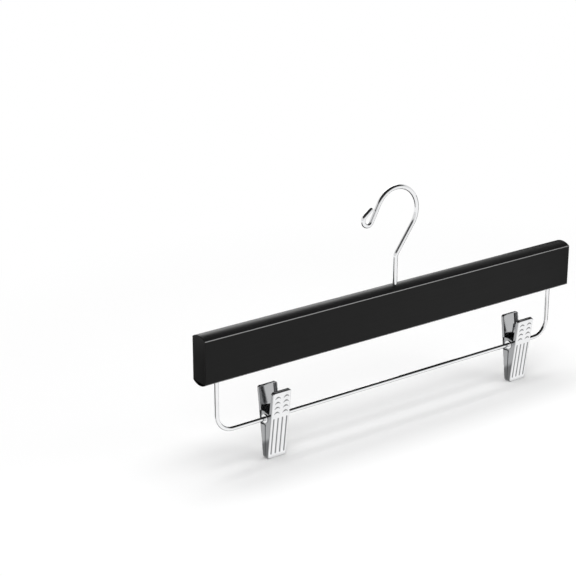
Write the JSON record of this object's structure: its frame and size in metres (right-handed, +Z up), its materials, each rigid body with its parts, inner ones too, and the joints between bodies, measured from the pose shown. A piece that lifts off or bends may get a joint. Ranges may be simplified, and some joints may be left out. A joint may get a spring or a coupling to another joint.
{
  "type": "skirt hanger",
  "caption": "Straight black wooden bar hanger with a swivelling chrome hook above and a wire rail below that carries sliding sprung metal clips for skirts and trousers.",
  "frame": {"origin": "underside of the hook's crown, on the swivel axis, where a clothes rail carries the hanger", "axes": "+X along the bar to the right, +Y to the rear, +Z up"},
  "size_m": [0.355, 0.0208, 0.1878],
  "materials": {
    "black_lacquered_wood": "satin black lacquer",
    "chrome_wire": "polished chrome plate",
    "chrome_sheet": "polished chrome plate",
    "spring_steel": "bright drawn",
    "zinc_steel": "zinc plated",
    "vinyl": "matt soft vinyl"
  },
  "bodies": {
    "hook": {"hook": "chrome_wire"},
    "bar": {"wooden_bar": "black_lacquered_wood", "wire_rail": "chrome_wire", "hook_washer": "zinc_steel"},
    "left_slider": {"left_pivot_sleeve": "chrome_sheet"},
    "left_spring": {"left_torsion_spring": "spring_steel"},
    "left_front_jaw": {"left_front_jaw": "chrome_sheet", "left_front_pad": "vinyl"},
    "left_rear_jaw": {"left_rear_jaw": "chrome_sheet", "left_rear_pad": "vinyl"},
    "right_slider": {"right_pivot_sleeve": "chrome_sheet"},
    "right_spring": {"right_torsion_spring": "spring_steel"},
    "right_front_jaw": {"right_front_jaw": "chrome_sheet", "right_front_pad": "vinyl"},
    "right_rear_jaw": {"right_rear_jaw": "chrome_sheet", "right_rear_pad": "vinyl"}
  },
  "joints": [
    {"name": "hook_swivel", "type": "hinge", "parent": "hook", "child": "bar", "pos_m": [0, 0, -0.0745], "axis": [0, 0, 1], "continuous": true},
    {"name": "left_clip_slide", "type": "slide", "parent": "bar", "child": "left_slider", "axis": [1, 0, 0], "range_m": [-0.0276, 0.1006]},
    {"name": "left_clip_swing", "type": "hinge", "parent": "left_slider", "child": "left_spring", "pos_m": [-0.1126, 0, -0.1524], "axis": [1, 0, 0], "continuous": true},
    {"name": "left_front_jaw_open", "type": "hinge", "parent": "left_spring", "child": "left_front_jaw", "pos_m": [-0.1126, 0, -0.1524], "axis": [-1, 0, 0], "range_deg": [0, 14], "stiffness_Nm_per_rad": 0.16, "springref_deg": -20.05, "deforming": ["left_torsion_spring"]},
    {"name": "left_rear_jaw_open", "type": "hinge", "parent": "left_spring", "child": "left_rear_jaw", "pos_m": [-0.1126, 0, -0.1524], "axis": [1, 0, 0], "range_deg": [0, 14]},
    {"name": "right_clip_slide", "type": "slide", "parent": "bar", "child": "right_slider", "axis": [1, 0, 0], "range_m": [-0.1183, 0.0099]},
    {"name": "right_clip_swing", "type": "hinge", "parent": "right_slider", "child": "right_spring", "pos_m": [0.1303, 0, -0.1524], "axis": [1, 0, 0], "continuous": true},
    {"name": "right_front_jaw_open", "type": "hinge", "parent": "right_spring", "child": "right_front_jaw", "pos_m": [0.1303, 0, -0.1524], "axis": [-1, 0, 0], "range_deg": [0, 14], "stiffness_Nm_per_rad": 0.16, "springref_deg": -20.05, "deforming": ["right_torsion_spring"]},
    {"name": "right_rear_jaw_open", "type": "hinge", "parent": "right_spring", "child": "right_rear_jaw", "pos_m": [0.1303, 0, -0.1524], "axis": [1, 0, 0], "range_deg": [0, 14]}
  ],
  "couplings": [
    {"joint": "left_rear_jaw_open", "follows": "left_front_jaw_open", "ratio": 1},
    {"joint": "right_rear_jaw_open", "follows": "right_front_jaw_open", "ratio": 1}
  ]
}
